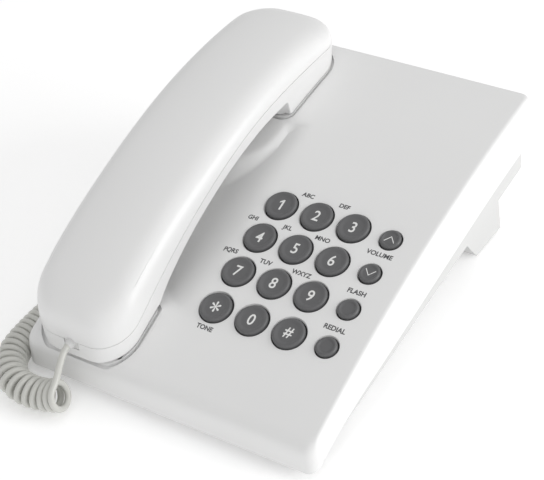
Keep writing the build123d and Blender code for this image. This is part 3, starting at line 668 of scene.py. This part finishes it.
cutters = []
for n, x, y, r, hr in KEYS:
    fr = plane_frame(x, y, float(panel_z(y)), KEY_SLOPE)
    # the hole has a small round lead-in at the panel
    cutters.append(lathe("cut_" + n, [(0, -9), (hr, -9), (hr, -0.45), (hr + 0.12, -0.2), (hr + 0.42, 0.12), (hr + 0.6, 3),
                                      (0, 3)], fr, seg=72))
hook_fr = (np.array((-31.0, 168.0, float(panel_z(168.0)) - 6)), np.array((1.0, 0, 0)), np.array((0, 1.0, 0)),
           np.array((0, 0, 1.0)))
cutters.append(box_mesh("cut_hook", hook_fr, 7.8, 12.8, 14.0, 0.6))


def round_rect(xa, xb, ya, yb, rf, rb, d, n=12):
    """Plan outline with its own front and back corner radii, grown by d."""
    pts = []
    for cx, cy, r, a0 in ((xb - rb, yb - rb, rb, 0), (xa + rb, yb - rb, rb, 90), (xa + rf, ya + rf, rf, 180),
                          (xb - rf, ya + rf, rf, 270)):
        for i in range(n + 1):
            a = math.radians(a0 + 90.0 * i / n)
            pts.append((cx + (r + d) * math.cos(a), cy + (r + d) * math.sin(a)))
    return np.array(pts)


def groove(name, xa, xb, ya, yb, rf, rb, inner, outer, depth, y_low):
    """Shadow gap round a block of the handset: a narrow ring sunk below the panel."""
    a, b = round_rect(xa, xb, ya, yb, rf, rb, outer), round_rect(xa, xb, ya, yb, rf, rb, -inner)
    A, B = [], []
    for i in range(len(a)):
        j = (i + 1) % len(a)
        k = max(1, int(np.linalg.norm(a[j] - a[i]) / 3.0))
        for t in range(k):
            A.append(a[i] + (a[j] - a[i]) * t / k)
            B.append(b[i] + (b[j] - b[i]) * t / k)
    A, B = np.array(A), np.array(B)
    A[:, 1] = np.maximum(A[:, 1], y_low)
    B[:, 1] = np.maximum(B[:, 1], y_low + inner + outer)
    n = len(A)
    rows = [np.column_stack([P, panel_z(P[:, 1]) + h]) for P, h in ((A, -depth), (A, 3.0), (B, 3.0), (B, -depth))]
    faces = [(r * n + i, r * n + (i + 1) % n, (r + 1) % 4 * n + (i + 1) % n, (r + 1) % 4 * n + i)
             for r in range(4) for i in range(n)]
    return make_mesh(name, np.concatenate(rows), faces)


cut(upper, [join_cutters(cutters)])
cut(upper, [groove("cut_ear_gap", HS_X - HS_HALF + 1.2, HS_X + HS_HALF - 1.2, 142.37, 194.03, 6.1, 16.1, 0.66, 0.93, 1.5,
                   0.0)])
cut(upper, [groove("cut_mouth_gap", HS_X - HS_HALF + 0.8, HS_X + HS_HALF - 0.8, 0.6, 33.4, 16.2, 2.5, 0.6, 1.1, 1.9,
                   1.3)])
finish_mesh(upper, WHITE, 32.0)
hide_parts("upper_case")
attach(upper, "base")

# ------------------------------------------------------------------ handset
crown = spline1(((0.0, 42.0), (10.0, 48.6), (20.0, 54.6), (40.0, 64.4), (70.0, 75.2), (100.0, 83.6), (130.0, 89.4),
                 (155.0, 91.8), (174.0, 91.6), (194.0, 88.6)))
arch = spline1(((34.0, 33.0), (40.0, 38.6), (48.0, 44.4), (60.0, 51.4), (76.0, 58.6), (94.0, 64.9), (112.0, 69.2),
                (126.0, 71.2), (134.0, 71.6), (150.0, 71.8)))


def under(y, x=None):
    """Underside: an arch over the handle, and two blocks that stand on the panel."""
    y = np.asarray(y, float)
    low = panel_z(np.clip(y, 0, 194.2)) + 0.4 + 0.9 * smooth((y - 183.0) / 12.0) + 0.6 * smooth((50.0 - y) / 20.0)
    up = arch(np.clip(y, 34.0, 150.0))
    back = 0.0
    if x is not None:      # rounded front corners of the ear block
        back = 3.2 * smooth((np.abs(np.asarray(x, float) - HS_X) - (HS_HALF - 9.0)) / 9.0)
    w_ear = smooth((y - 139.4 - back) / 3.4)
    w_mic = smooth((36.4 - y) / 3.4)
    w = np.maximum(w_ear, w_mic)
    return up * (1 - w) + low * w
seam = spline1(((-6.0, 25.2), (10.0, 31.8), (30.0, 43.4), (55.0, 56.9), (85.0, 69.0), (115.0, 77.0), (145.0, 80.4),
                (175.0, 81.2), (205.0, 81.6)))
HSP = (HS_X - HS_HALF, HS_X + HS_HALF, 0.6, 194.2)


def hs_top(x, y):
    q = np.clip(np.abs(x - HS_X) / HS_HALF, 0, 1)
    return crown(y) - 2.3 * q ** 2.2


def hs_under(x, y):
    return under(y, x)


def hs_post(P):
    """The flanks draw in slightly away from the parting line."""
    x, y, z = P[:, 0].copy(), P[:, 1], P[:, 2]
    d = z - seam(y)
    k = np.where(d > 0, 0.045, 0.10)
    x = HS_X + (x - HS_X) * (1 - k * np.abs(d) / HS_HALF)
    return np.stack([x, y, z], -1)


back = slab("handset_crown", HSP, 17.0, (9.5, 9.5, 9.5, 10.5), hs_top, lambda x, y: seam(y) + 0.14, +1, 44, 150, 2.2, 2.4,
            hs_post, HS_WHITE, knob=9, levels=5, sharp=40)
face = slab("handset_underside", HSP, 17.0, (1.1, 1.1, 1.3, 1.6), hs_under, lambda x, y: seam(y) - 0.14, -1, 44, 190, 2.2,
            2.4, hs_post, HS_WHITE, knob=5, levels=6, sharp=40)
cutters = [box_mesh("cut_jack", (np.array((HS_X, 4.0, 26.6)), np.array((1.0, 0, 0)), np.array((0, 1.0, 0)),
                                 np.array((0, 0, 1.0))), 7.95, 14.0, 6.25, 0.4)]
for y in (116.0, 58.0):
    cutters.append(lathe("cut_screw", [(0, -9), (2.9, -9), (2.9, 2.8), (0, 2.8)],
                         (np.array((HS_X, y, float(under(y)))), np.array((1.0, 0, 0)), np.array((0, 1.0, 0)),
                          np.array((0, 0, 1.0))), seg=40))
cut(face, [join_cutters(cutters)])
finish_mesh(face, HS_WHITE, 35)
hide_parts("handset_back_shell")
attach(back, "handset")
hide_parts("handset_front_shell")
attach(face, "handset")


def slope_at(y):
    return math.atan2(-(y - CY), float(panel_z(y)) - CZ)


# round receiver cap, dished, and oblong mouthpiece cap, both pierced with sound holes
ear_fr = plane_frame(HS_X, 168.0, float(panel_z(168.0)), slope_at(168.0))
ear = lathe("receiver_cap", [(0, 3.2), (18.4, 3.2), (18.6, 2.8), (18.6, -2.6), (18.2, -3.5), (17.2, -4.0), (16.2, -3.9),
                             (15.2, -3.3), (12.0, -2.2), (7.0, -1.5), (3.0, -1.25), (0, -1.2)], ear_fr, seg=96)
holes = []
for ang in [None] + list(range(0, 360, 60)):
    r = 0.0 if ang is None else 7.0
    a = 0.0 if ang is None else math.radians(ang)
    fr = (ear_fr[0] + ear_fr[1] * r * math.cos(a) + ear_fr[2] * r * math.sin(a), ear_fr[1], ear_fr[2], ear_fr[3])
    holes.append(lathe("hole", [(0, -8), (1.1, -8), (1.1, 1.4), (0, 1.4)], fr, seg=24))
for ang in range(0, 360, 30):
    a = math.radians(ang + 15)
    fr = (ear_fr[0] + ear_fr[1] * 11.0 * math.cos(a) + ear_fr[2] * 11.0 * math.sin(a), ear_fr[1], ear_fr[2], ear_fr[3])
    holes.append(lathe("hole", [(0, -8), (0.8, -8), (0.8, 0.6), (0, 0.6)], fr, seg=20))
cut(ear, [join_cutters(holes)])
finish_mesh(ear, HS_WHITE, 35)
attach(ear, "handset")

mic_fr = plane_frame(HS_X, 18.0, float(panel_z(18.0)), slope_at(19.0))
mic = box_mesh("mouthpiece_cap", (mic_fr[0] + mic_fr[3] * 0.1, mic_fr[1], mic_fr[2], mic_fr[3]), 36.0, 20.0, 6.8, 1.6,
               seg=5)
holes = []
for dx in (-5.0, 0.0, 5.0):
    for dy in (-2.6, 2.6):
        fr = (mic_fr[0] + mic_fr[1] * dx + mic_fr[2] * dy, mic_fr[1], mic_fr[2], mic_fr[3])
        holes.append(lathe("hole", [(0, -8), (0.9, -8), (0.9, -0.6), (0, -0.6)], fr, seg=24))
cut(mic, [join_cutters(holes)])
finish_mesh(mic, HS_WHITE, 35)
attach(mic, "handset")


# ------------------------------------------------------------------ keys and print
def key_profile(r):
    """Cap with a shallow flat dish, a soft rim, a flange under the panel and a stem."""
    P = KEY_PROUD
    s = r / 7.55
    pts = [(0, P - 0.55)]
    for q in np.linspace(0.15, 1.0, 6):
        pts.append((4.4 * s * q, P - 0.55 + 0.02 * q * q))
    for q in np.linspace(0.12, 1.0, 8):
        rr = 4.4 * s + (r - 0.95 - 4.4 * s) * q
        pts.append((rr, P - 0.53 + 0.53 * float(smooth(q))))
    for a in np.linspace(12, 90, 7):
        pts.append((r - 0.95 + 0.95 * math.sin(math.radians(a)), P - 0.95 + 0.95 * math.cos(math.radians(a))))
    pts += [(r, -1.0), (r, -3.4), (r + 0.95, -3.4), (r + 0.95, -4.4), (2.2, -4.4), (2.2, -5.5), (0, -5.5)]
    return pts


def text_mesh(name, body, size, mapper, mat, thick, bold=0.0, width=1.0):
    """Lettering as a thin solid. mapper takes local millimetres to the model's millimetres."""
    cu = bpy.data.curves.new(name, "FONT")
    cu.body = body
    cu.size = size
    cu.align_x = "CENTER"
    cu.align_y = "CENTER"
    cu.extrude = thick / 2
    cu.offset = bold
    cu.resolution_u = 5
    ob = bpy.data.objects.new(name + "_c", cu)
    COL.objects.link(ob)
    bpy.context.view_layer.update()
    me = bpy.data.meshes.new_from_object(ob)
    co = np.array([v.co[:] for v in me.vertices], float)
    co[:, 0] *= width
    mid = (co.min(0) + co.max(0)) / 2
    co -= mid
    faces = [list(p.vertices) for p in me.polygons]
    bpy.data.objects.remove(ob, do_unlink=True)
    bpy.data.meshes.remove(me)
    return make_mesh(name, mapper(co), faces, mat, sharp=30)


LABELS = {"key_1": "1", "key_2": "2", "key_3": "3", "key_4": "4", "key_5": "5", "key_6": "6", "key_7": "7",
          "key_8": "8", "key_9": "9", "key_0": "0", "key_star": "*", "key_hash": "#"}
for n, x, y, r, hr in KEYS:
    fr = plane_frame(x, y, float(panel_z(y)), KEY_SLOPE)
    k = lathe(n + "_cap", key_profile(r - 0.25), fr, seg=72, mat=KEY_GREY, sharp=40)
    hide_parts(n)
    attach(k, n)
    top = KEY_PROUD - 0.53
    if n == "key_1":
        out = [(-0.42, -2.75), (0.46, -2.75), (0.46, 2.75), (-0.22, 2.75), (-1.62, 1.55), (-1.62, 0.85), (-0.42, 1.55)]
        m = len(out)
        top_v = [(a + 0.35, b, top + 0.07) for a, b in out]
        low_v = [(a + 0.35, b, top - 0.10) for a, b in out]
        q = [(0, 1, 2, 6), (2, 3, 4, 6), (4, 5, 6)]
        faces = [f for f in q] + [tuple(i + m for i in f[::-1]) for f in q]
        faces += [(i, i + m, (i + 1) % m + m, (i + 1) % m) for i in range(m)]
        t = make_mesh(n + "_numeral", to_frame(fr, top_v + low_v), faces, PRINT_WHITE, 30)
        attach(t, n)
    elif n in LABELS:
        size = 7.6
        if n == "key_star":
            size = 12.0
        elif n == "key_hash":
            size = 7.2
        t = text_mesh(n + "_numeral", LABELS[n], size,
                      lambda co, fr=fr: to_frame(fr, co + np.array((0, 0, top - 0.02))), PRINT_WHITE, 0.16, bold=0.08,
                      width=0.92)
        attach(t, n)
    elif n.startswith("key_volume"):
        up = 1.0 if n.endswith("up") else -1.0
        w, h, th = 2.6, 1.5, 0.34
        out = [(-w, -h), (0, h), (w, -h), (w - 0.9 * th, -h - 0.75 * th), (0, h - 1.55 * th), (-w + 0.9 * th, -h - 0.75 * th)]
        out = [(a, b * up) for a, b in out]
        top_v = [(a, b, top + 0.07) for a, b in out]
        low_v = [(a, b, top - 0.10) for a, b in out]
        q = [(0, 1, 4, 5), (1, 2, 3, 4)]
        faces = [f for f in q] + [tuple(i + 6 for i in f[::-1]) for f in q]
        ring = [0, 1, 2, 3, 4, 5]
        for i in range(6):
            faces.append((ring[i], ring[i] + 6, ring[(i + 1) % 6] + 6, ring[(i + 1) % 6]))
        t = make_mesh(n + "_arrow", to_frame(fr, top_v + low_v), faces, PRINT_WHITE, 30)
        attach(t, n)

PANEL_TEXT = (("letters_2", "ABC", 11.4, 105.6, 3.1), ("letters_3", "DEF", 30.2, 105.6, 3.1),
              ("letters_4", "GHI", -6.2, 86.6, 3.1), ("letters_5", "JKL", 11.7, 86.6, 3.1),
              ("letters_6", "MNO", 29.9, 86.8, 3.1), ("letters_7", "PQRS", -6.6, 68.2, 3.1),
              ("letters_8", "TUV", 12.0, 68.0, 3.1), ("letters_9", "WXYZ", 30.1, 68.2, 3.1),
              ("letters_tone", "TONE", 2.9, 31.6, 3.0), ("letters_volume", "VOLUME", 57.4, 88.2, 3.2),
              ("letters_flash", "FLASH", 57.6, 68.2, 3.2), ("letters_redial", "REDIAL", 57.4, 49.9, 3.2))


def on_panel(x, y):
    def f(co):
        X = x + co[:, 0]
        Y = y + co[:, 1] * math.cos(KEY_SLOPE)
        return np.stack([X, Y, case_top(X, Y) + 0.01 + co[:, 2]], -1)
    return f


for n, body, x, y, size in PANEL_TEXT:
    t = text_mesh(n, body, size, on_panel(x, y), PRINT_GREY, 0.10, bold=0.075, width=1.0)
    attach(t, "base")

# ------------------------------------------------------------------ floor and light
bm = bmesh.new()
bmesh.ops.create_grid(bm, x_segments=24, y_segments=24, size=6.0)
me = bpy.data.meshes.new("floor")
bm.to_mesh(me)
bm.free()
floor = bpy.data.objects.new("floor", me)
COL.objects.link(floor)
floor_mat = plastic("floor_paper", (0.95, 0.95, 0.95), 0.9, bump=0.01, grain=300, vary=0.004, spec=0.1)
floor_bsdf = floor_mat.node_tree.nodes["Principled BSDF"]
floor_bsdf.inputs["Emission Color"].default_value = (1, 1, 1, 1)
floor_bsdf.inputs["Emission Strength"].default_value = 0.25
me.materials.append(floor_mat)

world = bpy.data.worlds.new("world")
bpy.context.scene.world = world
world.use_nodes = True
bg = world.node_tree.nodes["Background"]
bg.inputs["Color"].default_value = (1.0, 1.0, 1.0, 1)
bg.inputs["Strength"].default_value = 0.60


def area(name, loc, aim, size, power, shape="DISK"):
    li = bpy.data.lights.new(name, "AREA")
    li.shape = shape
    li.size = size
    li.energy = power
    ob = bpy.data.objects.new(name, li)
    ob.location = loc
    d = Vector(aim) - Vector(loc)
    ob.rotation_euler = d.to_track_quat("-Z", "Y").to_euler()
    COL.objects.link(ob)
    return ob


area("key_light", (1.2, 0.30, 0.50), (0, 0, 0.04), 0.9, 8.2)
area("front_fill", (0.45, -1.5, 0.8), (0, 0, 0.04), 1.4, 2.6)
area("top_soft", (0.3, 0.5, 1.7), (0, 0, 0), 1.6, 3.3)

# ------------------------------------------------------------------ final update
bpy.context.view_layer.update()
